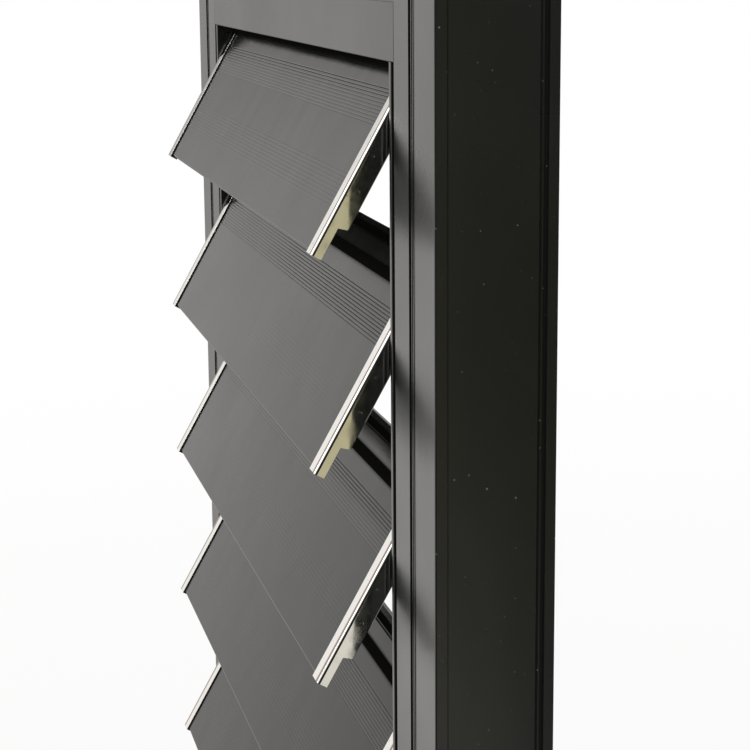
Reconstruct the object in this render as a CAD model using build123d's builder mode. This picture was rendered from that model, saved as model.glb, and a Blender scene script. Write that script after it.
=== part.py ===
import os
from math import cos, radians, sin

from build123d import *

# Jalousie window: an aluminium frame with six tilting louvres in end clips.
# Millimetres. +Z is up and -Y is the outdoor side. The origin is the middle
# of the sill's underside, halfway through the frame's depth.

# Frame
FRAME_W = 630.0
FRAME_H = 730.0
FRAME_D = 53.6
RAIL_FACE = 62.0  # height of the head's and the sill's front face
WALL = 2.0
FRONT_WALL = 3.0  # the grooved front wall is thicker than the others
DIVIDER = 1.6  # inner web of the hollow sections
EASE = 0.8  # radius of the eased front edges
PAST = 1.0  # cuts run this far outside the metal

# Shadow groove in the front faces, with fine ribs on its floor
INNER_STRIP = 25.9  # plain face between the opening and the groove
GROOVE_W = 10.7
OUTER_STRIP = 32.0  # plain face between the jamb's groove and its outer corner
GROOVE_DEPTH = 1.0
GROOVE_RIBS = 3
GROOVE_RIB_W = 0.9
GROOVE_RIB_H = 0.5

# Lines on the jamb's outer side
SIDE_LINE_BACK = 5.5  # fine line, behind the front plane
SIDE_LINE_W = 0.6
SIDE_LINE_DEPTH = 0.5
SIDE_BEAD_BACK = 47.0  # middle of the round groove, behind the front plane
SIDE_BEAD_R = 2.0

# Head recess, where the top louvre's inner edge swings
LIP = 2.4
RECESS_H = 22.0

# Sill upstand, which the lowest louvre closes on
UPSTAND_BACK = 6.5  # its front, behind the front plane
UPSTAND_T = 2.0
UPSTAND_H = 12.0

# Louvre stiles: channels that carry the pivots, open to the front slot
SLOT_W = 4.9  # gap between the jamb and the stile's front lip
LIP_W = 4.0  # width of the stile's front lip
LIP_DEPTH = 2.5
STILE_T = 1.8
STILE_REAR_GAP = 2.8  # rear flange to the frame's rear plane
STILE_FOOT = 14.0  # foot flange on the jamb

# Louvres
LOUVRES = 6
OPEN_ANGLE = 29.5  # tilt from upright
OVERLAP = 12.9  # of one louvre over the next when closed
BLADE_T = 4.4
BLADE_WALL = 1.3
BLADE_WEBS = 2  # inner webs of the hollow louvre
BLADE_NOSE_R = 1.0  # radius of the lower outer edge
BLADE_END_GAP = 0.2  # to the clip's web
LAND_W = 8.0  # seat along the inner edge, where the next louvre closes
LAND_DEPTH = 0.8
LAND_BAND = 7.5  # raised band below the seat

# Band of fine flutes along the louvre's outer face
FLUTE_INNER = 32.6  # first flute, down from the inner edge
FLUTE_PITCH = 1.75
FLUTE_COUNT = 11
FLUTE_W = 0.8
FLUTE_DEPTH = 0.14

# Pivots: round studs with a square key, in square-bodied bushes
PIVOT_BACK = 12.2  # behind the front plane
PIVOT_INNER = 28.4  # down the louvre from its inner edge
PIVOT_UNDER = 4.9  # under the louvre's outer face
PIVOT_DROP = 12.25  # first pivot below the head
STUD_R = 3.0
STUD_KEY = 4.0  # square that the crank fits on
STUD_KEY_PROUD = 0.8
RUNNING = 0.05  # clearance of a shaft in its hole, all round
BUSH_BODY = 9.0
BUSH_FLANGE = 13.0
BUSH_FLANGE_T = 2.15
CLIP_RUNNING = 0.1  # clip to bush

# Louvre end clips, folded from sheet
CLIP_T = 0.9
CLIP_FLANGE = 11.0  # over the louvre's end
CLIP_BEND = 1.5  # outer bend radius
CLIP_SHORT = 2.5  # clip ends this far before the overlap
CLIP_NARROW = 5.3  # web depth at the tip
CLIP_WIDE = 10.1  # web depth past its shoulder
SHOULDER_UP = 14.9  # shoulder, up from the louvre's lower edge
SHOULDER_DEPTH = 4.3  # its steep part
SHOULDER_LEAN = 1.3  # how far the steep part leans
SHOULDER_LENGTH = 4.0
CLIP_END_BEVEL = 4.0  # bevelled upper corner of the web
TAB_GAP = 0.3  # tip tab to the louvre's edge
TAB_DEPTH = 4.9
TAB_SLIT = 1.6  # open slit between the tip tab and the web
RETURN_W = 2.6  # return flange along the web's wide part
RETURN_FROM = 24.0
RETURN_END = 32.5  # from the return flange to the clip's upper end
TONGUE_W = 9.0
TONGUE_REACH = 7.0
TONGUES = (26.0, 60.0)  # lower ends of the tongues under the louvre

# Cranks and link bars inside the stiles
CRANK_T = 1.5
CRANK_GAP = 0.3  # stile web to crank
CRANK_REACH = 14.0  # pivot to link pin
CRANK_HUB_R = 6.0
CRANK_TIP_R = 4.6
CRANK_SIDES = 8  # bevelled ends, as sheared from strip
CRANK_RISE = 16.5  # angle of the crank above level, in degrees
LINK_PIN_R = 2.0
LINK_GAP = 0.2
LINK_T = 2.0
LINK_W = 10.0
LINK_BEVEL = 2.5
LINK_END = 7.0  # bar past its end pins
LINK_PIN_PROUD = 0.8

# Hand lever on one right-hand clip
LEVER_CLIP_NUMBER = 4
LEVER_T = 2.0
LEVER_W = 4.8
LEVER_BELOW = 14.5  # arm's start, down the louvre from the pivot
LEVER_ABOVE = 2.0  # arm's bend, up the louvre from the pivot
LEVER_UNDER = 7.0
LEVER_BACK = 13.0  # grip's centre behind the frame
LEVER_DROP = 20.0  # grip's centre below the pivot
LEVER_BEND = 9.0
GRIP_L = 26.0
GRIP_W = 11.0
GRIP_T = 8.0

# Weather seals
SEAL_LIFT = 1.0
SEAL_H = 6.0
HEAD_SEAL_T = 2.6
SILL_SEAL_T = 1.9
SILL_SEAL_H = 5.0
SEAL_BEVEL = 0.9
SEAL_END_GAP = 10.0  # seal to the clip's flange

# Places that follow from the sizes above
FRONT = -FRAME_D / 2
REAR = FRAME_D / 2
JAMB_FACE = INNER_STRIP + GROOVE_W + OUTER_STRIP
JAMB_IN = FRAME_W / 2 - JAMB_FACE
SILL_TOP = RAIL_FACE
HEAD_LOW = FRAME_H - RAIL_FACE
PITCH = (HEAD_LOW - SILL_TOP) / LOUVRES
BLADE_W = PITCH + OVERLAP
PIVOT_UP = BLADE_W - PIVOT_INNER
STILE_X = JAMB_IN - SLOT_W - LIP_W
CLIP_X = STILE_X - BUSH_FLANGE_T - CLIP_RUNNING
BLADE_END = CLIP_X - CLIP_T - BLADE_END_GAP
PIVOT_Y = FRONT + PIVOT_BACK
FIRST_PIVOT_Z = HEAD_LOW - PIVOT_DROP
CLIP_LENGTH = BLADE_W - OVERLAP - CLIP_SHORT
CRANK_X = STILE_X + STILE_T + CRANK_GAP
LINK_X = CRANK_X + CRANK_T + LINK_GAP
UP = (sin(radians(OPEN_ANGLE)), cos(radians(OPEN_ANGLE)))  # up the louvre, as Y and Z
OUT = (-UP[1], UP[0])  # out of the louvre's outer face


def pivot_z(number):
    """Height of a louvre's pivot; louvre 1 is the top one."""
    return FIRST_PIVOT_Z - (number - 1) * PITCH


def blade_point(number, up, out):
    """World Y and Z of a point given along and out of a louvre's outer face."""
    along = up - PIVOT_UP
    proud = out + PIVOT_UNDER
    return (
        PIVOT_Y + along * UP[0] + proud * OUT[0],
        pivot_z(number) + along * UP[1] + proud * OUT[1],
    )


def blade_plane(number, x):
    """Plane across a louvre: local x runs up the louvre and local y out of its face."""
    y, z = blade_point(number, 0, 0)
    return Plane(origin=(x, y, z), x_dir=(0, UP[0], UP[1]), z_dir=(1, 0, 0))


def mirrored(right_side, name):
    """The left-hand twin of a right-hand part."""
    with BuildPart() as twin:
        mirror(right_side.part, about=Plane.YZ)
    twin.part.label = name
    return twin


def box_between(low, high, mode=Mode.ADD):
    """A rectangle of the sketch in hand, between two corners."""
    with Locations(((low[0] + high[0]) / 2, (low[1] + high[1]) / 2)):
        Rectangle(high[0] - low[0], high[1] - low[1], mode=mode)


def groove_section(start):
    """The shadow groove, cut from a section whose front edge is at local y FRONT."""
    box_between((start, FRONT - PAST), (start + GROOVE_W, FRONT + GROOVE_DEPTH), Mode.SUBTRACT)
    spacing = GROOVE_W / (GROOVE_RIBS + 1)
    for rib in range(GROOVE_RIBS):
        middle = start + (rib + 1) * spacing
        box_between(
            (middle - GROOVE_RIB_W / 2, FRONT + GROOVE_DEPTH - GROOVE_RIB_H),
            (middle + GROOVE_RIB_W / 2, FRONT + GROOVE_DEPTH + GROOVE_RIB_H),
        )


# Jambs: hollow extrusions that run the full height
with BuildPart() as right_jamb:
    with BuildSketch(Plane.XY) as jamb_section:
        box_between((JAMB_IN, FRONT), (FRAME_W / 2, REAR))
        fillet(jamb_section.vertices().group_by(Axis.Y)[0], EASE)
        groove_section(JAMB_IN + INNER_STRIP)
        divider = JAMB_IN + INNER_STRIP + GROOVE_W / 2
        inner_cell = (JAMB_IN + WALL, divider - DIVIDER / 2)
        outer_cell = (divider + DIVIDER / 2, FRAME_W / 2 - WALL - SIDE_BEAD_R)
        for low, high in (inner_cell, outer_cell):
            box_between((low, FRONT + FRONT_WALL), (high, REAR - WALL), Mode.SUBTRACT)
        line_y = FRONT + SIDE_LINE_BACK
        box_between(
            (FRAME_W / 2 - SIDE_LINE_DEPTH, line_y - SIDE_LINE_W / 2),
            (FRAME_W / 2 + PAST, line_y + SIDE_LINE_W / 2),
            Mode.SUBTRACT,
        )
        with Locations((FRAME_W / 2, FRONT + SIDE_BEAD_BACK)):
            Circle(SIDE_BEAD_R, mode=Mode.SUBTRACT)
    extrude(amount=FRAME_H)
right_jamb.part.label = "right_jamb"
left_jamb = mirrored(right_jamb, "left_jamb")


def rail_plane(x):
    """Plane across the head or the sill: local x is Z and local y is Y."""
    return Plane(origin=(x, 0, 0), x_dir=(0, 0, 1), z_dir=(-1, 0, 0))


# Head: a hollow extrusion between the jambs, with a recess open downwards
with BuildPart() as head:
    with BuildSketch(rail_plane(JAMB_IN)) as head_section:
        box_between((HEAD_LOW, FRONT), (FRAME_H, REAR))
        fillet(head_section.vertices().group_by(Axis.Y)[0], EASE)
        groove_section(HEAD_LOW + INNER_STRIP)
        recess_top = HEAD_LOW + RECESS_H
        box_between((HEAD_LOW - PAST, FRONT + LIP), (recess_top, REAR - LIP), Mode.SUBTRACT)
        box_between((recess_top + WALL, FRONT + FRONT_WALL), (FRAME_H - WALL, REAR - WALL), Mode.SUBTRACT)
    extrude(amount=2 * JAMB_IN)
head.part.label = "head"

# Sill: a hollow extrusion between the jambs, with an upstand on its top
with BuildPart() as sill:
    with BuildSketch(rail_plane(JAMB_IN)) as sill_section:
        box_between((0, FRONT), (SILL_TOP, REAR))
        fillet(sill_section.vertices().group_by(Axis.Y)[0], EASE)
        groove_section(SILL_TOP - INNER_STRIP - GROOVE_W)
        box_between((WALL, FRONT + FRONT_WALL), (SILL_TOP - WALL, REAR - WALL), Mode.SUBTRACT)
    extrude(amount=2 * JAMB_IN)
    with BuildSketch(rail_plane(STILE_X)):
        upstand_y = FRONT + UPSTAND_BACK
        box_between((SILL_TOP - WALL, upstand_y), (SILL_TOP + UPSTAND_H, upstand_y + UPSTAND_T))
    extrude(amount=2 * STILE_X)
sill.part.label = "sill"

# Louvre stiles, with a hole for each pivot's bush
with BuildPart() as right_stile:
    with BuildSketch(Plane.XY.offset(SILL_TOP)) as stile_section:
        rear = REAR - STILE_REAR_GAP
        box_between((STILE_X, FRONT), (STILE_X + STILE_T, rear))
        box_between((STILE_X, FRONT), (STILE_X + LIP_W, FRONT + LIP_DEPTH))
        box_between((STILE_X, rear - STILE_T), (JAMB_IN, rear))
        box_between((JAMB_IN - STILE_T, rear - STILE_FOOT), (JAMB_IN, rear))
        fillet(stile_section.vertices().group_by(Axis.Y)[0], EASE)
    extrude(amount=HEAD_LOW - SILL_TOP)
    for number in range(1, LOUVRES + 1):
        with BuildSketch(Plane(origin=(STILE_X - PAST, PIVOT_Y, pivot_z(number)), z_dir=(1, 0, 0))):
            Rectangle(BUSH_BODY + 2 * RUNNING, BUSH_BODY + 2 * RUNNING)
        extrude(amount=STILE_T + 2 * PAST, mode=Mode.SUBTRACT)
right_stile.part.label = "right_stile"
left_stile = mirrored(right_stile, "left_stile")


def louvre(number):
    """A hollow blade with a band of flutes and a seat along its inner edge."""
    with BuildPart() as blade:
        with BuildSketch(blade_plane(number, -BLADE_END)) as section:
            box_between((0, -BLADE_T), (BLADE_W, 0))
            fillet(section.vertices().sort_by_distance((0, 0))[0], BLADE_NOSE_R)
            land = BLADE_W - LAND_W
            box_between((land, -LAND_DEPTH), (BLADE_W + PAST, PAST), Mode.SUBTRACT)
            band = land - LAND_BAND
            box_between((band - FLUTE_W, -FLUTE_DEPTH), (band, PAST), Mode.SUBTRACT)
            for flute in range(FLUTE_COUNT):
                middle = BLADE_W - FLUTE_INNER - flute * FLUTE_PITCH
                with BuildLine():
                    Polyline(
                        (middle - FLUTE_W / 2, 0),
                        (middle, -FLUTE_DEPTH),
                        (middle + FLUTE_W / 2, 0),
                        close=True,
                    )
                make_face(mode=Mode.SUBTRACT)
            cell = (BLADE_W - LAND_W - 2 * BLADE_WALL - BLADE_WEBS * BLADE_WALL) / (BLADE_WEBS + 1)
            for web in range(BLADE_WEBS + 1):
                start = BLADE_WALL + web * (cell + BLADE_WALL)
                box_between((start, BLADE_WALL - BLADE_T), (start + cell, -BLADE_WALL), Mode.SUBTRACT)
        extrude(amount=2 * BLADE_END)
    blade.part.label = f"louvre_{number}"
    return blade


def clip(number):
    """A right-hand end clip: flange over the louvre, web beside it, tip tab and tongues."""
    under = CLIP_T - CLIP_NARROW
    wide_under = CLIP_T - CLIP_WIDE
    tip = -TAB_GAP - CLIP_T
    tip_y, tip_z = blade_point(number, tip, 0)
    with BuildPart() as folded:
        # Flange and web, folded from one strip; local y of this section runs under the louvre
        with BuildSketch(Plane(origin=(0, tip_y, tip_z), x_dir=(1, 0, 0), z_dir=(0, *UP))):
            with BuildLine():
                Polyline(
                    (CLIP_X - CLIP_FLANGE, -CLIP_T),
                    (CLIP_X - CLIP_BEND, -CLIP_T),
                    (CLIP_X, CLIP_BEND - CLIP_T),
                    (CLIP_X, -wide_under),
                    (CLIP_X - CLIP_T, -wide_under),
                    (CLIP_X - CLIP_T, 0),
                    (CLIP_X - CLIP_FLANGE, 0),
                    close=True,
                )
            make_face()
            with Locations((CLIP_X - CLIP_BEND, CLIP_BEND - CLIP_T)):
                Circle(CLIP_BEND)
            box_between((CLIP_X - 2 * CLIP_BEND, 0), (CLIP_X - CLIP_T, 2 * CLIP_BEND), Mode.SUBTRACT)
        extrude(amount=CLIP_LENGTH - tip)
        # The web is cut back to its narrow part near the tip
        with BuildSketch(blade_plane(number, CLIP_X - CLIP_T)):
            with BuildLine():
                Polyline(
                    (tip - PAST, under),
                    (SHOULDER_UP, under),
                    (SHOULDER_UP + SHOULDER_LEAN, under - SHOULDER_DEPTH),
                    (SHOULDER_UP + SHOULDER_LENGTH, wide_under),
                    (SHOULDER_UP + SHOULDER_LENGTH, wide_under - PAST),
                    (tip - PAST, wide_under - PAST),
                    close=True,
                )
            make_face()
        extrude(amount=CLIP_T, mode=Mode.SUBTRACT)
        # Tip tab, folded down over the louvre's lower edge
        with BuildSketch(blade_plane(number, CLIP_X - CLIP_FLANGE)):
            box_between((tip, CLIP_T - TAB_DEPTH), (tip + CLIP_T, CLIP_T))
        extrude(amount=CLIP_FLANGE - CLIP_T - TAB_SLIT)
        # Return flange under the web's wide part
        with BuildSketch(blade_plane(number, CLIP_X - RETURN_W)):
            box_between((RETURN_FROM, wide_under), (CLIP_LENGTH - RETURN_END, wide_under + CLIP_T))
        extrude(amount=RETURN_W - CLIP_T)
        # Tongues that hold the louvre against the flange
        with BuildSketch(blade_plane(number, CLIP_X - CLIP_T - TONGUE_REACH)):
            for start in TONGUES:
                box_between((start, -BLADE_T - CLIP_T), (start + TONGUE_W, -BLADE_T))
        extrude(amount=TONGUE_REACH)
        end_corner = Vector(CLIP_X, *blade_point(number, CLIP_LENGTH, wide_under))
        chamfer(folded.edges().filter_by(Axis.X).sort_by_distance(end_corner)[0], CLIP_END_BEVEL)
    folded.part.label = f"right_clip_{number}"
    return folded


louvres = [louvre(number) for number in range(1, LOUVRES + 1)]
right_clips = [clip(number) for number in range(1, LOUVRES + 1)]
left_clips = [mirrored(piece, f"left_clip_{number}") for number, piece in enumerate(right_clips, 1)]


def across(number, x):
    """Plane square to X, centred on a pivot: local x is Y and local y is Z."""
    return Plane(origin=(x, PIVOT_Y, pivot_z(number)), x_dir=(0, 1, 0), z_dir=(1, 0, 0))


# Pivot studs, one for each clip, with a square key for the crank
with BuildPart() as right_pivots:
    for number in range(1, LOUVRES + 1):
        with BuildSketch(across(number, CLIP_X)):
            Circle(STUD_R)
        extrude(amount=CRANK_X - CLIP_X)
        with BuildSketch(across(number, CRANK_X)):
            Rectangle(STUD_KEY, STUD_KEY, rotation=CRANK_RISE)
        extrude(amount=CRANK_T + STUD_KEY_PROUD)
right_pivots.part.label = "right_pivots"
left_pivots = mirrored(right_pivots, "left_pivots")

# Flanged bushes in the stile's web
with BuildPart() as right_bushes:
    for number in range(1, LOUVRES + 1):
        with BuildSketch(across(number, STILE_X - BUSH_FLANGE_T)):
            Rectangle(BUSH_FLANGE, BUSH_FLANGE)
        extrude(amount=BUSH_FLANGE_T)
        with BuildSketch(across(number, STILE_X)):
            Rectangle(BUSH_BODY, BUSH_BODY)
        extrude(amount=STILE_T)
        with BuildSketch(across(number, STILE_X - BUSH_FLANGE_T)):
            Circle(STUD_R + RUNNING)
        extrude(amount=BUSH_FLANGE_T + STILE_T, mode=Mode.SUBTRACT)
right_bushes.part.label = "right_bushes"
left_bushes = mirrored(right_bushes, "left_bushes")

# Cranks on the studs, each with its link pin
PIN_Y = CRANK_REACH * cos(radians(CRANK_RISE))
PIN_Z = CRANK_REACH * sin(radians(CRANK_RISE))
with BuildPart() as right_cranks:
    for number in range(1, LOUVRES + 1):
        with BuildSketch(across(number, CRANK_X)):
            RegularPolygon(CRANK_HUB_R, CRANK_SIDES, major_radius=False, rotation=CRANK_RISE)
            with Locations((PIN_Y, PIN_Z)):
                RegularPolygon(CRANK_TIP_R, CRANK_SIDES, major_radius=False, rotation=CRANK_RISE)
            make_hull()
            key_hole = STUD_KEY + 2 * RUNNING
            Rectangle(key_hole, key_hole, rotation=CRANK_RISE, mode=Mode.SUBTRACT)
        extrude(amount=CRANK_T)
        with BuildSketch(across(number, CRANK_X)):
            with Locations((PIN_Y, PIN_Z)):
                Circle(LINK_PIN_R)
        extrude(amount=CRANK_T + LINK_GAP + LINK_T + LINK_PIN_PROUD)
right_cranks.part.label = "right_cranks"
left_cranks = mirrored(right_cranks, "left_cranks")

# Link bars that join the cranks
with BuildPart() as right_link_bar:
    link_y = PIVOT_Y + PIN_Y
    link_low = pivot_z(LOUVRES) + PIN_Z - LINK_END
    link_high = pivot_z(1) + PIN_Z + LINK_END
    with BuildSketch(Plane(origin=(LINK_X, 0, 0), x_dir=(0, 1, 0), z_dir=(1, 0, 0))) as bar_face:
        box_between((link_y - LINK_W / 2, link_low), (link_y + LINK_W / 2, link_high))
        chamfer(bar_face.vertices(), LINK_BEVEL)
        for number in range(1, LOUVRES + 1):
            with Locations((link_y, pivot_z(number) + PIN_Z)):
                Circle(LINK_PIN_R + RUNNING, mode=Mode.SUBTRACT)
    extrude(amount=LINK_T)
right_link_bar.part.label = "right_link_bar"
left_link_bar = mirrored(right_link_bar, "left_link_bar")

# Hand lever, riveted to a right-hand clip under its louvre
lever_start = blade_point(LEVER_CLIP_NUMBER, PIVOT_UP - LEVER_BELOW, -LEVER_UNDER)
lever_turn = blade_point(LEVER_CLIP_NUMBER, PIVOT_UP + LEVER_ABOVE, -LEVER_UNDER)
grip_y = REAR + LEVER_BACK
grip_z = pivot_z(LEVER_CLIP_NUMBER) - LEVER_DROP
lever_x = CLIP_X - CLIP_T - LEVER_T
with BuildPart() as lever_arm:
    with BuildSketch(Plane(origin=(lever_x, 0, 0), x_dir=(0, 1, 0), z_dir=(1, 0, 0))):
        with BuildLine():
            FilletPolyline(lever_start, lever_turn, (grip_y, grip_z), radius=LEVER_BEND)
        trace(line_width=LEVER_W)
    extrude(amount=LEVER_T)
lever_arm.part.label = "lever_arm"

grip_run = Vector(grip_y - lever_turn[0], grip_z - lever_turn[1]).normalized()
with BuildPart() as lever_grip:
    grip_plane = Plane(
        origin=(lever_x + LEVER_T / 2, grip_y, grip_z),
        x_dir=(0, grip_run.X, grip_run.Y),
        z_dir=(1, 0, 0),
    )
    with BuildSketch(grip_plane):
        SlotOverall(GRIP_L, GRIP_W)
    extrude(amount=GRIP_T / 2, both=True)
    add(lever_arm.part, mode=Mode.SUBTRACT)
lever_grip.part.label = "lever_grip"

# Weather seals on the head's lip and on the sill's upstand
SEAL_END = CLIP_X - CLIP_FLANGE - SEAL_END_GAP
SEAL_PLANE = Plane(origin=(-SEAL_END, 0, 0), x_dir=(0, 1, 0), z_dir=(1, 0, 0))
with BuildPart() as head_seal:
    with BuildSketch(SEAL_PLANE) as head_seal_section:
        seal_y = FRONT + LIP
        seal_low = HEAD_LOW + SEAL_LIFT
        box_between((seal_y, seal_low), (seal_y + HEAD_SEAL_T, seal_low + SEAL_H))
        chamfer(head_seal_section.vertices().group_by(Axis.X)[-1], SEAL_BEVEL)
    extrude(amount=2 * SEAL_END)
head_seal.part.label = "head_seal"

with BuildPart() as sill_seal:
    with BuildSketch(SEAL_PLANE) as sill_seal_section:
        seal_y = FRONT + UPSTAND_BACK
        seal_top = SILL_TOP + UPSTAND_H - SEAL_LIFT
        box_between((seal_y - SILL_SEAL_T, seal_top - SILL_SEAL_H), (seal_y, seal_top))
        chamfer(sill_seal_section.vertices().group_by(Axis.X)[0], SEAL_BEVEL)
    extrude(amount=2 * SEAL_END)
sill_seal.part.label = "sill_seal"

pieces = [
    left_jamb,
    right_jamb,
    head,
    sill,
    left_stile,
    right_stile,
    *louvres,
    *left_clips,
    *right_clips,
    left_pivots,
    right_pivots,
    left_bushes,
    right_bushes,
    left_cranks,
    right_cranks,
    left_link_bar,
    right_link_bar,
    lever_arm,
    lever_grip,
    head_seal,
    sill_seal,
]

os.makedirs("parts", exist_ok=True)
for piece in pieces:
    export_step(piece.part, f"parts/{piece.part.label}.step")
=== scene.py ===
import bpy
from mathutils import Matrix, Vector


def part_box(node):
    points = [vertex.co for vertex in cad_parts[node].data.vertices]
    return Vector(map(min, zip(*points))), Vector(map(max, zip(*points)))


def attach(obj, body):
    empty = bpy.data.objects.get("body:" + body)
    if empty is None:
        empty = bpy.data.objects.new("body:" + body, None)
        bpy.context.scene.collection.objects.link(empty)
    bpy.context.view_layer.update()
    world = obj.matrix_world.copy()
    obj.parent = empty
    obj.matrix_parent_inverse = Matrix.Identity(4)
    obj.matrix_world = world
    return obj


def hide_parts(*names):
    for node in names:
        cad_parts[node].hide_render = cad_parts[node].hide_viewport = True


bl_info = {
    "name": "Jalousie Window",
    "version": (1, 0, 0),
    "blender": (4, 5, 0),
    "location": "View3D > Sidebar > Jalousie",
    "description": "Finishes, small fittings and studio for a jalousie window",
    "category": "Object",
}

from math import cos, radians, sin

import bpy
from bpy.props import FloatProperty, FloatVectorProperty, IntProperty, PointerProperty
from mathutils import Matrix, Vector

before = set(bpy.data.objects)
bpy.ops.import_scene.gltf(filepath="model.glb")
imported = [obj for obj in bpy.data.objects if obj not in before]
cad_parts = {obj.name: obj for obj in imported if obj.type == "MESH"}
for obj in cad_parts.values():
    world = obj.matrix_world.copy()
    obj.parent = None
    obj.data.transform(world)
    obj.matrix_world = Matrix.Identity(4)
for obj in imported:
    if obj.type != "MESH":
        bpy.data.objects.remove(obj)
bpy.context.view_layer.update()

# The photograph's square frame and the camera that was fitted to it
PHOTO_SIDE_PX = 750
FOCAL_PX = 2011.25
SENSOR_MM = 36.0

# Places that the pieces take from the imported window
MM = 0.001
NUMBERS = range(1, 7)  # of the louvres and clips, from the top
LEAN = radians(29.5)  # louvres from upright
UP = Vector((0.0, sin(LEAN), cos(LEAN)))  # up a louvre
OUT = Vector((0.0, -cos(LEAN), sin(LEAN)))  # out of a louvre's outer face
BLADE_T = 4.4 * MM  # thickness of a louvre
FACE_RISE = 0.317 * MM  # outer face over the corner of the louvre's box, which the rounded edge cuts
OUTER_FACE = 0.05  # how deep still counts as the outer face, as a share of the step between louvres
PAINTED_SHADE_STRIPS = ((89.5 * MM, 98.9 * MM), (105.2 * MM, 112.4 * MM))  # up a louvre, beside its raised rib: strips of painted shade from the louvre above
STRIP_FADE = 1.8 * MM  # soft edge of a painted shade strip
RIB_END_GAP = 0.05 * MM  # fine rib to the clip
TIP_WEB = 5.3 * MM  # depth of a clip's web at its tip
CLIP_BEND = 1.5 * MM  # outer radius between a clip's flange and its web
SIDES = ("left", "right")
ALONG_X, ALONG_Z = 0, 2  # axis that a pattern runs along

# Rivets on a clip's web: up from its tip, under its flange, and share of the full radius
RIVETS = ((52.0 * MM, 4.1 * MM, 0.5), (34.4 * MM, 5.45 * MM, 0.85))

# The painted reflection on a clip's flange, a dark line along the bend, fades in and out at these distances
# from the bend, outwards
PAINTED_BEND_IN = (-3.0 * MM, -1.8 * MM)
PAINTED_BEND_OUT = (0.4 * MM, -0.8 * MM)

# Refractive index of the coat, from about 1.5 and then matched to the sheen on each piece
UPRIGHT_INDEX = 1.65
RAIL_INDEX = 1.48
LOUVRE_INDEX = 1.31

# Edges of the mirrored backdrop, from nothing to full, along an axis of the direction
BENCH_NEAR = (0.05, 0.09)  # Y
BENCH_FAR = (0.225, 0.2)  # Y
BENCH_TOP = (0.06, 0.02)  # Z
ROOM_EDGE = (0.1, 0.6)  # X
LIT_FRONT = (-0.12, -0.23)  # Y

# On the floor, in metres from the window
SHEET_EDGE = (1.5, 1.9)  # the mirrored sheet turns to bench
SHADOW_FADE = (0.4, 2.6)  # the window's shadow fades


def srgb(code):
    """Linear colour of an sRGB hex value."""
    parts = [int(code[i : i + 2], 16) / 255 for i in (1, 3, 5)]
    return tuple(p / 12.92 if p <= 0.04045 else ((p + 0.055) / 1.055) ** 2.4 for p in parts)


def rgba(colour):
    """A colour with full alpha, as shader sockets want it."""
    return (*colour[:3], 1.0)


def colour_setting(name, description, code):
    """A colour that a user may change, with an sRGB hex value as its default."""
    return FloatVectorProperty(
        name=name, description=description, subtype="COLOR", min=0, max=1, default=srgb(code)
    )


def length_setting(name, description, length):
    """A length that a user may change."""
    return FloatProperty(name=name, description=description, default=length, unit="LENGTH")


def roughness_setting(name, description, roughness):
    """A roughness that a user may change."""
    return FloatProperty(
        name=name, description=description, min=0, max=1, default=roughness, subtype="FACTOR"
    )


def angle_setting(name, description, degrees):
    """An angle that a user may change, with its default in degrees."""
    return FloatProperty(name=name, description=description, default=radians(degrees), subtype="ANGLE")


class CoatSettings(bpy.types.PropertyGroup):
    """Matt powder coat on the frame and the louvres."""

    frame_colour: colour_setting("Frame", "Coat on the frame", "#1C1E1B")
    louvre_colour: colour_setting("Louvres", "Coat on the louvres", "#1C1D1B")
    dust_colour: colour_setting("Dust", "Specks of dust on the uprights", "#8E8C88")
    # Painted shade: a louvre's two strips take this colour and lose their sheen, for the shade and dark
    # reflection of the louvre above
    painted_shade_colour: colour_setting("Strips", "Dull black strips on a louvre", "#1A1A19")
    roughness: roughness_setting("Roughness", "Roughness of the frame's coat", 0.26)
    louvre_roughness: roughness_setting("Louvre roughness", "Roughness of the louvres' smoother coat", 0.16)
    peel: length_setting("Orange peel", "Width of one ripple of the coat", 1.6 * MM)
    rib_pitch: length_setting("Rib pitch", "Pitch of the fine ribs low on a louvre", 2.0 * MM)
    rib_low: length_setting("Ribs from", "Lowest rib, up from the louvre's edge", 22.0 * MM)
    rib_count: IntProperty(name="Ribs", description="Fine ribs on a louvre", min=1, default=9)
    rib_width: length_setting("Rib width", "Width of a fine rib", 1.2 * MM)
    rib_height: length_setting("Rib height", "Height of a fine rib", 0.045 * MM)


class ClipSettings(bpy.types.PropertyGroup):
    """Polished stainless steel clips and their pressed rivets."""

    colour: colour_setting("Steel", "Polished stainless steel", "#F6F5F1")
    # Colour of the real specks of dust, and of the dark line painted along the bend as a painted reflection
    dirt_and_painted_reflection: colour_setting("Film", "Specks and the film at the bend", "#8C7068")
    roughness: roughness_setting("Roughness", "Roughness of the polish", 0.06)
    edge: length_setting("Edge", "Width of the tumbled edges", 0.25 * MM)
    bend: length_setting("Bend", "Width of the round bend at the web's rear", 0.75 * MM)
    rivet_radius: length_setting("Rivet radius", "Radius of a full rivet's head", 1.1 * MM)
    rivet_height: length_setting("Rivet height", "Height of a rivet's head", 0.35 * MM)


class FittingSettings(bpy.types.PropertyGroup):
    """The pivots, cranks, bars, lever and seals."""

    zinc: colour_setting("Zinc", "Zinc plate on the steel", "#B4B6B4")
    nylon: colour_setting("Nylon", "Nylon of the bushes", "#1E1E1D")
    grip: colour_setting("Grip", "Plastic of the lever's grip", "#1B1B1B")
    rubber: colour_setting("Rubber", "Rubber of the seals", "#151514")
    grip_edge: length_setting("Grip edge", "Width of the grip's rounded edges", 1.6 * MM)


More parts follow.
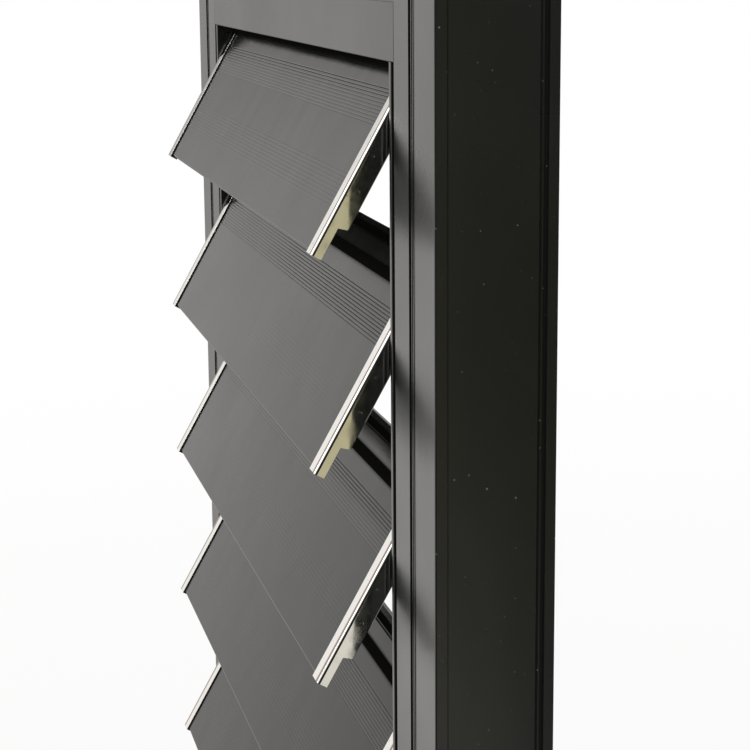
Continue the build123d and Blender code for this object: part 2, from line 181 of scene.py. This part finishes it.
class StudioSettings(bpy.types.PropertyGroup):
    """Floor, lamps, surroundings and camera."""

    floor_colour: colour_setting("Floor", "Pale floor", "#EDECE9")
    floor_radius: length_setting("Floor radius", "Radius of the floor", 9.0)
    key_watts: FloatProperty(name="Key", description="Power of the key lamp", default=30.0, unit="POWER")
    fill_watts: FloatProperty(name="Fill", description="Power of the fill lamp", default=6.0, unit="POWER")
    white: colour_setting("Backdrop", "Backdrop and its light", "#FFFFFF")
    glow: colour_setting("Glow", "Backdrop as gloss mirrors it", "#F4F2EF")
    shade: colour_setting("Shade", "Backdrop away from its light", "#AAA8A5")
    room: colour_setting("Room", "Dim room on the right", "#1A1A18")
    bench: colour_setting("Bench", "Bench on the right", "#B8B191")
    sheet: colour_setting("Sheet", "Pale sheet near the window", "#DCD8CE")
    eye: FloatVectorProperty(
        name="Camera",
        description="Where the camera stands",
        default=(1.10701, -0.24144, 0.71651),
        unit="LENGTH",
    )
    turn: angle_setting("Turn", "View from -X towards +Y", 13.42)
    dip: angle_setting("Dip", "View below level", 11.95)
    roll: angle_setting("Roll", "Roll of the camera", -0.45)


class JalousieSettings(bpy.types.PropertyGroup):
    """All of the window's settings."""

    coat: PointerProperty(type=CoatSettings)
    clips: PointerProperty(type=ClipSettings)
    fittings: PointerProperty(type=FittingSettings)
    studio: PointerProperty(type=StudioSettings)


def add_node(tree, kind, inputs=None, **settings):
    """Add a node with its settings; an input is given a value or another node's output."""
    made = tree.nodes.new(kind)
    for name, value in settings.items():
        setattr(made, name, value)
    for socket, value in (inputs or {}).items():
        if isinstance(value, bpy.types.NodeSocket):
            tree.links.new(value, made.inputs[socket])
        else:
            made.inputs[socket].default_value = value
    return made


def new_material(name):
    """An empty node material, its output node and its object coordinates."""
    made = bpy.data.materials.new(name)
    made.use_nodes = True
    made.node_tree.nodes.clear()
    output = add_node(made.node_tree, "ShaderNodeOutputMaterial")
    place = add_node(made.node_tree, "ShaderNodeTexCoord").outputs["Object"]
    return made, output, place


def louvre_edge(number):
    """Where a louvre's outer face starts at its lower edge, midway along the louvre."""
    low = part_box(f"louvre_{number}")[0]
    return Vector((0.0, low.y, low.z + BLADE_T * OUT.z))


def up_louvre(tree, place):
    """How far up a louvre from its lower edge, and one on its outer face."""
    edge = louvre_edge(1)
    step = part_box("louvre_1")[0].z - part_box("louvre_2")[0].z
    depth = add_node(tree, "ShaderNodeVectorMath", {0: place, 1: OUT}, operation="DOT_PRODUCT")
    above = add_node(
        tree,
        "ShaderNodeMapRange",
        {
            "Value": depth.outputs["Value"],
            "From Min": edge.dot(OUT),
            "From Max": edge.dot(OUT) - step * OUT.z,
        },
        clamp=False,
    )
    # Louvres above this one: none over the first, one over the second
    rank = add_node(tree, "ShaderNodeMath", {0: above.outputs[0]}, operation="ROUND")
    height = add_node(tree, "ShaderNodeVectorMath", {0: place, 1: UP}, operation="DOT_PRODUCT")
    lifted = add_node(
        tree,
        "ShaderNodeMath",
        {0: rank.outputs[0], 1: step * UP.z, 2: height.outputs["Value"]},
        operation="MULTIPLY_ADD",
    )
    up = add_node(tree, "ShaderNodeMath", {0: lifted.outputs[0], 1: edge.dot(UP)}, operation="SUBTRACT")
    deep = add_node(tree, "ShaderNodeMath", {0: above.outputs[0], 1: rank.outputs[0]}, operation="SUBTRACT")
    outer = add_node(tree, "ShaderNodeMath", {0: deep.outputs[0], 1: OUTER_FACE}, operation="LESS_THAN")
    return up.outputs[0], outer.outputs[0]


def band(tree, value, low, high, fade):
    """One between two values and zero outside them, with soft edges."""
    start = add_node(tree, "ShaderNodeMapRange", {"Value": value, "From Min": low, "From Max": low + fade})
    end = add_node(tree, "ShaderNodeMapRange", {"Value": value, "From Min": high, "From Max": high - fade})
    return add_node(
        tree, "ShaderNodeMath", {0: start.outputs[0], 1: end.outputs[0]}, operation="MULTIPLY"
    ).outputs[0]


def powder_coat(name, coat, colour, roughness, along, index, painted_shade_strips=False, dust=0.0):
    """Powder-coated extruded aluminium: a matt skin with a fine orange-peel ripple.

    The eye sees a soft grazing sheen, broken up by the ripple and by faint die lines
    that run along the extrusion. The uprights have a few specks of dust. A louvre has
    two strips of painted shade beside its raised rib, dark and without sheen, standing
    in for the shade and dark reflection of the louvre above."""
    patch = 90 * MM
    wave, wave_depth = 70 * MM, 0.5 * MM
    die_line, die_run = 0.9 * MM, 600 * MM
    speck = 1.6 * MM
    skin_depth = 0.05 * MM
    made, output, place = new_material(name)
    tree = made.node_tree
    cloud = add_node(
        tree,
        "ShaderNodeTexNoise",
        {"Vector": place, "Scale": 1 / patch, "Detail": 3.0, "Roughness": 0.55},
    )
    tone = add_node(
        tree,
        "ShaderNodeMapRange",
        {"Value": cloud.outputs["Fac"], "From Min": 0.3, "From Max": 0.7, "To Min": 0.94, "To Max": 1.06},
    )
    stretched = [1 / die_line] * 3
    stretched[along] = 1 / die_run
    die = add_node(tree, "ShaderNodeMapping", {"Vector": place, "Scale": stretched})
    lines = add_node(tree, "ShaderNodeTexNoise", {"Vector": die.outputs[0], "Scale": 1.0, "Detail": 2.0})
    ripple = add_node(tree, "ShaderNodeTexNoise", {"Vector": place, "Scale": 1 / coat.peel, "Detail": 1.0})
    sway = add_node(tree, "ShaderNodeTexNoise", {"Vector": place, "Scale": 1 / wave, "Detail": 2.0})
    tint = add_node(tree, "ShaderNodeHueSaturation", {"Value": tone.outputs[0], "Color": rgba(colour)})
    gloss = add_node(
        tree,
        "ShaderNodeMapRange",
        {
            "Value": cloud.outputs["Fac"],
            "From Min": 0.3,
            "From Max": 0.7,
            "To Min": roughness - 0.03,
            "To Max": roughness + 0.03,
        },
    )
    grit = add_node(tree, "ShaderNodeTexNoise", {"Vector": place, "Scale": 1 / speck, "Detail": 0.0})
    specks = add_node(
        tree,
        "ShaderNodeMapRange",
        {"Value": grit.outputs["Fac"], "From Min": 0.84, "From Max": 0.88, "To Max": dust},
    )
    dusty = add_node(
        tree,
        "ShaderNodeMix",
        {0: specks.outputs[0], 6: tint.outputs["Color"], 7: rgba(coat.dust_colour)},
        data_type="RGBA",
    )
    surface = {"Base Color": dusty.outputs[2]}
    if painted_shade_strips:
        # Painted shade: beside the raised rib, two strips of a louvre's outer face turn dark and lose their
        # sheen, for the shade and dark reflection of the louvre above
        up, outer = up_louvre(tree, place)
        low_strip, high_strip = (band(tree, up, low, high, STRIP_FADE) for low, high in PAINTED_SHADE_STRIPS)
        both = add_node(tree, "ShaderNodeMath", {0: low_strip, 1: high_strip}, operation="MAXIMUM")
        dull = add_node(tree, "ShaderNodeMath", {0: both.outputs[0], 1: outer}, operation="MULTIPLY")
        black = add_node(
            tree,
            "ShaderNodeMix",
            {0: dull.outputs[0], 6: dusty.outputs[2], 7: rgba(coat.painted_shade_colour)},
            data_type="RGBA",
        )
        sheen = add_node(
            tree, "ShaderNodeMapRange", {"Value": dull.outputs[0], "To Min": 0.5, "To Max": 0.0}
        )
        surface = {"Base Color": black.outputs[2], "Specular IOR Level": sheen.outputs[0]}
    # The sheet is never quite flat, which clouds what it mirrors
    wavy = add_node(
        tree, "ShaderNodeBump", {"Strength": 1.0, "Distance": wave_depth, "Height": sway.outputs["Fac"]}
    )
    grooved = add_node(
        tree,
        "ShaderNodeBump",
        {
            "Strength": 0.08,
            "Distance": skin_depth,
            "Height": lines.outputs["Fac"],
            "Normal": wavy.outputs["Normal"],
        },
    )
    skin = add_node(
        tree,
        "ShaderNodeBump",
        {
            "Strength": 0.35,
            "Distance": skin_depth,
            "Height": ripple.outputs["Fac"],
            "Normal": grooved.outputs["Normal"],
        },
    )
    shader = add_node(
        tree,
        "ShaderNodeBsdfPrincipled",
        {
            "Roughness": gloss.outputs[0],
            "Normal": skin.outputs["Normal"],
            "IOR": index,
            **surface,
        },
    )
    tree.links.new(shader.outputs[0], output.inputs[0])
    return made


def zinc_plate(colour):
    """Zinc plate on rolled steel, whose fine grain runs upright.

    The eye sees a grey metal with a soft sheen that the grain draws out."""
    roughness = 0.34
    grain, grain_run, grain_depth = 0.5 * MM, 12 * MM, 0.02 * MM
    made, output, place = new_material("zinc_plate")
    tree = made.node_tree
    scale = [1 / grain] * 3
    scale[ALONG_Z] = 1 / grain_run
    run = add_node(tree, "ShaderNodeMapping", {"Vector": place, "Scale": scale})
    lines = add_node(tree, "ShaderNodeTexNoise", {"Vector": run.outputs[0], "Scale": 1.0, "Detail": 3.0})
    gloss = add_node(
        tree,
        "ShaderNodeMapRange",
        {"Value": lines.outputs["Fac"], "To Min": roughness * 0.7, "To Max": roughness * 1.4},
    )
    dents = add_node(
        tree, "ShaderNodeBump", {"Strength": 0.12, "Distance": grain_depth, "Height": lines.outputs["Fac"]}
    )
    shader = add_node(
        tree,
        "ShaderNodeBsdfPrincipled",
        {
            "Base Color": rgba(colour),
            "Metallic": 1.0,
            "Roughness": gloss.outputs[0],
            "Normal": dents.outputs["Normal"],
        },
    )
    tree.links.new(shader.outputs[0], output.inputs[0])
    return made


def polished_stainless(colour, dirt_and_painted_reflection, roughness):
    """Polished stainless sheet: a mirror, duller where it was handled.

    The eye sees the room in it, with small specks and faint smears. A dark line is
    painted along the bend of the flange: a painted reflection of the bend."""
    speck, smear = 1.8 * MM, 9 * MM
    made, output, place = new_material("polished_stainless")
    tree = made.node_tree
    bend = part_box("right_clip_1")[1].x - CLIP_BEND
    axes = add_node(tree, "ShaderNodeSeparateXYZ", {0: place})
    across = add_node(tree, "ShaderNodeMath", {0: axes.outputs["X"]}, operation="ABSOLUTE")
    # Painted reflection: a dark line along the bend of the flange, standing in for what the bend mirrors;
    # the specks below are real dust
    start = add_node(
        tree,
        "ShaderNodeMapRange",
        {"Value": across.outputs[0], "From Min": bend + PAINTED_BEND_IN[0], "From Max": bend + PAINTED_BEND_IN[1]},
    )
    end = add_node(
        tree,
        "ShaderNodeMapRange",
        {"Value": across.outputs[0], "From Min": bend + PAINTED_BEND_OUT[0], "From Max": bend + PAINTED_BEND_OUT[1]},
    )
    line = add_node(tree, "ShaderNodeMath", {0: start.outputs[0], 1: end.outputs[0]}, operation="MULTIPLY")
    dust = add_node(tree, "ShaderNodeTexNoise", {"Vector": place, "Scale": 1 / speck, "Detail": 2.0})
    specks = add_node(
        tree,
        "ShaderNodeMapRange",
        {"Value": dust.outputs["Fac"], "From Min": 0.68, "From Max": 0.76, "To Max": 0.55},
    )
    dark = add_node(
        tree, "ShaderNodeMath", {0: line.outputs[0], 1: specks.outputs[0]}, operation="MAXIMUM"
    )
    tint = add_node(
        tree,
        "ShaderNodeMix",
        {0: dark.outputs[0], 6: rgba(colour), 7: rgba(dirt_and_painted_reflection)},
        data_type="RGBA",
    )
    handling = add_node(tree, "ShaderNodeTexNoise", {"Vector": place, "Scale": 1 / smear, "Detail": 3.0})
    gloss = add_node(
        tree,
        "ShaderNodeMapRange",
        {
            "Value": handling.outputs["Fac"],
            "From Min": 0.4,
            "From Max": 0.75,
            "To Min": roughness,
            "To Max": roughness + 0.12,
        },
    )
    shader = add_node(
        tree,
        "ShaderNodeBsdfPrincipled",
        {"Base Color": tint.outputs[2], "Metallic": 1.0, "Roughness": gloss.outputs[0]},
    )
    tree.links.new(shader.outputs[0], output.inputs[0])
    return made


def moulded(name, colour, roughness, grain, strength):
    """Moulded nylon or plastic, or extruded rubber, with a fine even texture.

    The eye sees one dark colour with a dull, slightly broken sheen."""
    depth = 0.05 * MM
    made, output, place = new_material(name)
    tree = made.node_tree
    texture = add_node(tree, "ShaderNodeTexNoise", {"Vector": place, "Scale": 1 / grain, "Detail": 2.0})
    tone = add_node(
        tree, "ShaderNodeMapRange", {"Value": texture.outputs["Fac"], "To Min": 0.85, "To Max": 1.15}
    )
    tint = add_node(tree, "ShaderNodeHueSaturation", {"Value": tone.outputs[0], "Color": rgba(colour)})
    bump = add_node(
        tree, "ShaderNodeBump", {"Strength": strength, "Distance": depth, "Height": texture.outputs["Fac"]}
    )
    shader = add_node(
        tree,
        "ShaderNodeBsdfPrincipled",
        {
            "Base Color": tint.outputs["Color"],
            "Roughness": roughness,
            "Normal": bump.outputs["Normal"],
        },
    )
    tree.links.new(shader.outputs[0], output.inputs[0])
    return made


def cover(piece, material):
    """Give a piece one material."""
    piece.data.materials.clear()
    piece.data.materials.append(material)


def dress(names, material):
    """Give CAD nodes one material."""
    for name in names:
        cover(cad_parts[name], material)


def clip_point(side, number, up, under):
    """A point on a clip's web, up from its tip and under its flange's outer face."""
    low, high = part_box(f"{side}_clip_{number}")
    face = high.x if side == "right" else low.x
    tip = Vector((face, low.y, low.z + TIP_WEB * OUT.z))
    return tip + up * UP - under * OUT


def deselect():
    """Leave nothing selected, as a new primitive expects."""
    for piece in bpy.context.selected_objects:
        piece.select_set(False)


def join(pieces, name):
    """Join pieces into one whose place is in its mesh."""
    deselect()
    for piece in pieces:
        piece.select_set(True)
    bpy.context.view_layer.objects.active = pieces[0]
    bpy.ops.object.join()
    bpy.ops.object.transform_apply(location=True, rotation=True, scale=True)
    made = bpy.context.object
    made.name = made.data.name = name
    return made


def round_rear_bend(piece, width):
    """Round the long rear edge of a clip's web, where the sheet turns inwards."""
    bpy.ops.object.mode_set(mode="EDIT")
    bpy.ops.mesh.select_mode(type="EDGE")
    bpy.ops.mesh.select_all(action="DESELECT")
    bpy.ops.object.mode_set(mode="OBJECT")
    near = 0.02 * MM
    corners = [corner.co for corner in piece.data.vertices]
    face = max(abs(corner.x) for corner in corners) - near
    rear = min(corner.dot(OUT) for corner in corners) + near
    for edge in piece.data.edges:
        ends = [corners[index] for index in edge.vertices]
        edge.select = all(abs(end.x) > face and end.dot(OUT) < rear for end in ends)
    bpy.ops.object.mode_set(mode="EDIT")
    bpy.ops.mesh.bevel(offset=width, segments=4)
    bpy.ops.object.mode_set(mode="OBJECT")


def softened(node, name, width, segments, rear_bend=0.0):
    """A copy of a CAD node with its corners merged and its sharp edges rounded."""
    deselect()
    piece = bpy.data.objects.new(name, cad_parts[node].data.copy())
    bpy.context.scene.collection.objects.link(piece)
    piece.data.name = name
    piece.select_set(True)
    bpy.context.view_layer.objects.active = piece
    bpy.ops.object.mode_set(mode="EDIT")
    bpy.ops.mesh.select_all(action="SELECT")
    bpy.ops.mesh.remove_doubles(threshold=0.01 * MM)
    bpy.ops.mesh.dissolve_limited(angle_limit=radians(1))
    bpy.ops.object.mode_set(mode="OBJECT")
    if rear_bend:
        round_rear_bend(piece, rear_bend)
    bevel = piece.modifiers.new("edges", "BEVEL")
    bevel.width = width
    bevel.segments = segments
    bevel.limit_method = "ANGLE"
    bevel.angle_limit = radians(40)
    bpy.ops.object.modifier_apply(modifier=bevel.name)
    bpy.ops.object.shade_smooth_by_angle(angle=radians(30))
    # The flat faces keep their own normal, and only the rounded edges turn
    flat = piece.modifiers.new("flat_faces", "WEIGHTED_NORMAL")
    flat.keep_sharp = True
    bpy.ops.object.modifier_apply(modifier=flat.name)
    return piece


def fine_rib(middle, reach, width, height):
    """A low ridge along a louvre's face, its lower half sunk into the louvre."""
    deselect()
    bpy.ops.mesh.primitive_cylinder_add(vertices=4, radius=width / 2, depth=2 * reach, end_fill_type="NGON")
    rib = bpy.context.object
    squashed = OUT * (2 * height / width)
    turned = Matrix((UP, squashed, Vector((1.0, 0.0, 0.0)))).transposed().to_4x4()
    rib.data.transform(Matrix.Translation(middle) @ turned)
    return rib


def domed_head(radius, height, place, outward):
    """A rivet's head: a short drum with a rounded rim and a dished top, half sunk in the sheet."""
    rim, dish, rounding = radius * 0.45, height * 0.6, height * 0.35
    deselect()
    bpy.ops.mesh.primitive_cylinder_add(vertices=20, radius=radius, depth=height, end_fill_type="NGON")
    head = bpy.context.object
    bpy.ops.object.mode_set(mode="EDIT")
    bpy.ops.mesh.select_mode(type="FACE")
    bpy.ops.mesh.select_all(action="DESELECT")
    bpy.ops.object.mode_set(mode="OBJECT")
    for face in head.data.polygons:
        face.select = face.normal.z > 0.9
    bpy.ops.object.mode_set(mode="EDIT")
    bpy.ops.mesh.inset(thickness=rim, depth=-dish)
    bpy.ops.object.mode_set(mode="OBJECT")
    bevel = head.modifiers.new("rim", "BEVEL")
    bevel.width = rounding
    bevel.segments = 2
    bevel.limit_method = "ANGLE"
    bpy.ops.object.modifier_apply(modifier=bevel.name)
    turn = Vector((0, 0, 1)).rotation_difference(Vector(outward))
    head.data.transform(Matrix.Translation(place) @ turn.to_matrix().to_4x4())
    return head


class FinishFrame(bpy.types.Operator):
    """Coat the jambs, head, sill and stiles."""

    bl_idname = "jalousie.finish_frame"
    bl_label = "Finish Frame"
    bl_options = {"REGISTER", "UNDO"}

    def execute(self, context):
        coat = context.scene.jalousie.coat
        skin = (coat, coat.frame_colour, coat.roughness)
        upright = powder_coat("powder_coat_uprights", *skin, ALONG_Z, UPRIGHT_INDEX, dust=0.5)
        level = powder_coat("powder_coat_rails", *skin, ALONG_X, RAIL_INDEX)
        dress(["left_jamb", "right_jamb", "left_stile", "right_stile"], upright)
        dress(["head", "sill"], level)
        return {"FINISHED"}


class FinishLouvres(bpy.types.Operator):
    """Coat the louvres and add the fine ribs low on their faces."""

    bl_idname = "jalousie.finish_louvres"
    bl_label = "Finish Louvres"
    bl_options = {"REGISTER", "UNDO"}

    def execute(self, context):
        coat = context.scene.jalousie.coat
        skin = (coat, coat.louvre_colour, coat.louvre_roughness)
        material = powder_coat("powder_coat_louvres", *skin, ALONG_X, LOUVRE_INDEX, painted_shade_strips=True)
        dress([f"louvre_{number}" for number in NUMBERS], material)
        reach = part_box("right_clip_1")[0].x - RIB_END_GAP
        fine = []
        for number in NUMBERS:
            edge = louvre_edge(number) + FACE_RISE * OUT
            for rank in range(coat.rib_count):
                up = coat.rib_low + rank * coat.rib_pitch
                fine.append(fine_rib(edge + up * UP, reach, coat.rib_width, coat.rib_height))
        ribs = join(fine, "louvre_ribs")
        cover(ribs, material)
        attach(ribs, "root")
        return {"FINISHED"}


class FinishClips(bpy.types.Operator):
    """Polish the clips and add the rivets on their webs."""

    bl_idname = "jalousie.finish_clips"
    bl_label = "Finish Clips"
    bl_options = {"REGISTER", "UNDO"}

    def execute(self, context):
        clips = context.scene.jalousie.clips
        steel = polished_stainless(clips.colour, clips.dirt_and_painted_reflection, clips.roughness)
        dress([f"{side}_clip_{number}" for side in SIDES for number in NUMBERS], steel)
        heads = []
        for side in SIDES:
            outward = (1 if side == "right" else -1, 0, 0)
            for number in NUMBERS:
                clip = f"{side}_clip_{number}"
                folded = softened(clip, f"{clip}_sheet", clips.edge, 2, clips.bend)
                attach(folded, "root")
                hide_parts(clip)
                for up, under, share in RIVETS:
                    place = clip_point(side, number, up, under)
                    radius = clips.rivet_radius * share
                    heads.append(domed_head(radius, clips.rivet_height, place, outward))
        rivets = join(heads, "clip_rivets")
        cover(rivets, steel)
        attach(rivets, "root")
        return {"FINISHED"}


class FinishGallery(bpy.types.Operator):
    """Plate the pivots, cranks and link bars, and colour the bushes."""

    bl_idname = "jalousie.finish_gallery"
    bl_label = "Finish Gallery"
    bl_options = {"REGISTER", "UNDO"}

    def execute(self, context):
        fittings = context.scene.jalousie.fittings
        zinc = zinc_plate(fittings.zinc)
        nylon = moulded("moulded_nylon", fittings.nylon, roughness=0.42, grain=0.6 * MM, strength=0.08)
        dress([f"{side}_{part}" for side in SIDES for part in ("pivots", "cranks", "link_bar")], zinc)
        dress(["left_bushes", "right_bushes"], nylon)
        return {"FINISHED"}


class FinishLever(bpy.types.Operator):
    """Plate the lever's arm and colour its grip."""

    bl_idname = "jalousie.finish_lever"
    bl_label = "Finish Lever"
    bl_options = {"REGISTER", "UNDO"}

    def execute(self, context):
        fittings = context.scene.jalousie.fittings
        dress(["lever_arm"], bpy.data.materials["zinc_plate"])
        plastic = moulded("moulded_grip", fittings.grip, roughness=0.5, grain=0.8 * MM, strength=0.2)
        dress(["lever_grip"], plastic)
        grip = softened("lever_grip", "lever_grip_moulding", fittings.grip_edge, 3)
        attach(grip, "root")
        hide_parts("lever_grip")
        return {"FINISHED"}


class FinishSeals(bpy.types.Operator):
    """Colour the seals on the head and on the sill."""

    bl_idname = "jalousie.finish_seals"
    bl_label = "Finish Seals"
    bl_options = {"REGISTER", "UNDO"}

    def execute(self, context):
        fittings = context.scene.jalousie.fittings
        rubber = moulded("extruded_rubber", fittings.rubber, roughness=0.7, grain=0.7 * MM, strength=0.15)
        dress(["head_seal", "sill_seal"], rubber)
        return {"FINISHED"}


class SetStage(bpy.types.Operator):
    """Lay the floor, hang the lamps and stand the camera where the photograph was taken."""

    bl_idname = "jalousie.set_stage"
    bl_label = "Set Stage"
    bl_options = {"REGISTER", "UNDO"}

    def execute(self, context):
        scene = context.scene
        studio = scene.jalousie.studio
        scene.view_settings.view_transform = "Standard"
        self.lay_floor(studio)
        self.surround(scene, studio)
        self.hang_lamp(
            "key_lamp", studio.key_watts, place=(-1.3, -2.2, 1.9), target=(0.0, 0.0, 0.45), size=1.6
        )
        self.hang_lamp(
            "fill_lamp", studio.fill_watts, place=(1.9, 1.4, 1.6), target=(0.0, 0.0, 0.4), size=1.8
        )
        self.stand_camera(scene, studio)
        return {"FINISHED"}

    def lay_floor(self, studio):
        """A pale round floor that shows as backdrop and keeps the window's shadow."""
        deselect()
        bpy.ops.mesh.primitive_circle_add(vertices=96, radius=studio.floor_radius, fill_type="NGON")
        floor = bpy.context.object
        floor.name = "floor"
        material, output, place = new_material("studio_floor")
        tree = material.node_tree
        paint = add_node(
            tree, "ShaderNodeBsdfDiffuse", {"Color": rgba(studio.floor_colour), "Roughness": 0.8}
        )
        reach = add_node(tree, "ShaderNodeVectorMath", {0: place}, operation="LENGTH")
        off = add_node(
            tree,
            "ShaderNodeMapRange",
            {"Value": reach.outputs["Value"], "From Min": SHEET_EDGE[0], "From Max": SHEET_EDGE[1]},
            interpolation_type="SMOOTHSTEP",
        )
        bench = add_node(
            tree,
            "ShaderNodeMix",
            {0: off.outputs[0], 6: rgba(studio.sheet), 7: rgba(studio.bench)},
            data_type="RGBA",
        )
        shown, seen = self.backdrop(tree, place, studio, bench.outputs[2])
        glow = add_node(tree, "ShaderNodeEmission", {"Color": shown, "Strength": 1.0})
        # The shadow fades into the white backdrop away from the window
        fade = add_node(
            tree,
            "ShaderNodeMapRange",
            {
                "Value": reach.outputs["Value"],
                "From Min": SHADOW_FADE[0],
                "From Max": SHADOW_FADE[1],
                "To Min": 0.9,
            },
            interpolation_type="SMOOTHSTEP",
        )
        share = add_node(tree, "ShaderNodeMath", {0: seen, 1: fade.outputs[0]}, operation="MULTIPLY")
        mix = add_node(
            tree, "ShaderNodeMixShader", {0: share.outputs[0], 1: paint.outputs[0], 2: glow.outputs[0]}
        )
        tree.links.new(mix.outputs[0], output.inputs[0])
        floor.data.materials.append(material)

    def surround(self, scene, studio):
        """Even pale light, with the backdrop where it is looked at."""
        world = bpy.data.worlds.new("studio")
        scene.world = world
        world.use_nodes = True
        tree = world.node_tree
        tree.nodes.clear()
        direction = add_node(tree, "ShaderNodeTexCoord").outputs["Generated"]
        shown, seen = self.backdrop(tree, direction, studio, rgba(studio.bench))
        light = add_node(tree, "ShaderNodeBackground", {"Color": rgba(studio.white), "Strength": 0.6})
        glow = add_node(tree, "ShaderNodeBackground", {"Color": shown, "Strength": 1.0})
        mix = add_node(tree, "ShaderNodeMixShader", {0: seen, 1: light.outputs[0], 2: glow.outputs[0]})
        output = add_node(tree, "ShaderNodeOutputWorld")
        tree.links.new(mix.outputs[0], output.inputs[0])

    def backdrop(self, tree, direction, studio, bench):
        """The backdrop's colour, and one on the rays that see it.

        It is white to the eye and through glass. Gloss mirrors white on the left, and on
        the right a dim room with one pale bench, as around the real window."""
        rays = add_node(tree, "ShaderNodeLightPath").outputs
        unit = add_node(tree, "ShaderNodeVectorMath", {0: direction}, operation="NORMALIZE")
        axes = add_node(tree, "ShaderNodeSeparateXYZ", {0: unit.outputs[0]}).outputs
        near_edge = add_node(
            tree,
            "ShaderNodeMapRange",
            {"Value": axes["Y"], "From Min": BENCH_NEAR[0], "From Max": BENCH_NEAR[1]},
            interpolation_type="SMOOTHSTEP",
        )
        far_edge = add_node(
            tree,
            "ShaderNodeMapRange",
            {"Value": axes["Y"], "From Min": BENCH_FAR[0], "From Max": BENCH_FAR[1]},
            interpolation_type="SMOOTHSTEP",
        )
        low_down = add_node(
            tree,
            "ShaderNodeMapRange",
            {"Value": axes["Z"], "From Min": BENCH_TOP[0], "From Max": BENCH_TOP[1]},
        )
        across = add_node(
            tree, "ShaderNodeMath", {0: near_edge.outputs[0], 1: far_edge.outputs[0]}, operation="MULTIPLY"
        )
        on_bench = add_node(
            tree, "ShaderNodeMath", {0: across.outputs[0], 1: low_down.outputs[0]}, operation="MULTIPLY"
        )
        on_right = add_node(
            tree,
            "ShaderNodeMapRange",
            {"Value": axes["X"], "From Min": ROOM_EDGE[0], "From Max": ROOM_EDGE[1]},
            interpolation_type="SMOOTHSTEP",
        )
        right = add_node(
            tree,
            "ShaderNodeMix",
            {0: on_bench.outputs[0], 6: rgba(studio.room), 7: bench},
            data_type="RGBA",
        )
        # The backdrop is lit from the front, so it dims towards the side
        to_front = add_node(
            tree,
            "ShaderNodeMapRange",
            {"Value": axes["Y"], "From Min": LIT_FRONT[0], "From Max": LIT_FRONT[1]},
            interpolation_type="SMOOTHSTEP",
        )
        left = add_node(
            tree,
            "ShaderNodeMix",
            {0: to_front.outputs[0], 6: rgba(studio.shade), 7: rgba(studio.glow)},
            data_type="RGBA",
        )
        mirrored = add_node(
            tree,
            "ShaderNodeMix",
            {0: on_right.outputs[0], 6: left.outputs[2], 7: right.outputs[2]},
            data_type="RGBA",
        )
        shown = add_node(
            tree,
            "ShaderNodeMix",
            {0: rays["Is Glossy Ray"], 6: rgba(studio.white), 7: mirrored.outputs[2]},
            data_type="RGBA",
        )
        looked_at = add_node(
            tree,
            "ShaderNodeMath",
            {0: rays["Is Camera Ray"], 1: rays["Is Transmission Ray"]},
            operation="MAXIMUM",
        )
        seen = add_node(
            tree, "ShaderNodeMath", {0: looked_at.outputs[0], 1: rays["Is Glossy Ray"]}, operation="MAXIMUM"
        )
        return shown.outputs[2], seen.outputs[0]

    def hang_lamp(self, name, watts, place, target, size):
        """A square soft lamp turned towards a point."""
        lamp = bpy.data.lights.new(name, "AREA")
        lamp.energy = watts
        lamp.size = size
        holder = bpy.data.objects.new(name, lamp)
        holder.location = place
        holder.rotation_euler = (Vector(target) - Vector(place)).to_track_quat("-Z", "Y").to_euler()
        bpy.context.scene.collection.objects.link(holder)

    def stand_camera(self, scene, studio):
        """The camera that was fitted to the photograph's edges."""
        view = Vector(
            (-cos(studio.turn) * cos(studio.dip), sin(studio.turn) * cos(studio.dip), -sin(studio.dip))
        )
        across = view.cross(Vector((0, 0, 1))).normalized()
        upward = across.cross(view)
        right = cos(studio.roll) * across + sin(studio.roll) * upward
        top = -sin(studio.roll) * across + cos(studio.roll) * upward
        lens = bpy.data.cameras.new("camera")
        lens.sensor_width = SENSOR_MM
        lens.lens = FOCAL_PX / PHOTO_SIDE_PX * SENSOR_MM
        lens.clip_start = 0.05
        camera = bpy.data.objects.new("camera", lens)
        turned = Matrix((right, top, -view)).transposed().to_4x4()
        camera.matrix_world = Matrix.Translation(studio.eye) @ turned
        scene.collection.objects.link(camera)
        scene.camera = camera


class JalousiePanel(bpy.types.Panel):
    """The window's steps, in the 3D view's sidebar."""

    bl_idname = "VIEW3D_PT_jalousie"
    bl_label = "Jalousie Window"
    bl_space_type = "VIEW_3D"
    bl_region_type = "UI"
    bl_category = "Jalousie"

    def draw(self, context):
        for step in STEPS:
            self.layout.operator(step.bl_idname)


SETTINGS = (CoatSettings, ClipSettings, FittingSettings, StudioSettings, JalousieSettings)
STEPS = (FinishFrame, FinishLouvres, FinishClips, FinishGallery, FinishLever, FinishSeals, SetStage)


def register():
    for part in (*SETTINGS, *STEPS, JalousiePanel):
        bpy.utils.register_class(part)
    bpy.types.Scene.jalousie = PointerProperty(type=JalousieSettings)


def unregister():
    del bpy.types.Scene.jalousie
    for part in reversed((*SETTINGS, *STEPS, JalousiePanel)):
        bpy.utils.unregister_class(part)


def main():
    """Run every step."""
    register()
    bpy.ops.jalousie.finish_frame()
    bpy.ops.jalousie.finish_louvres()
    bpy.ops.jalousie.finish_clips()
    bpy.ops.jalousie.finish_gallery()
    bpy.ops.jalousie.finish_lever()
    bpy.ops.jalousie.finish_seals()
    bpy.ops.jalousie.set_stage()


if __name__ == "__main__":
    main()
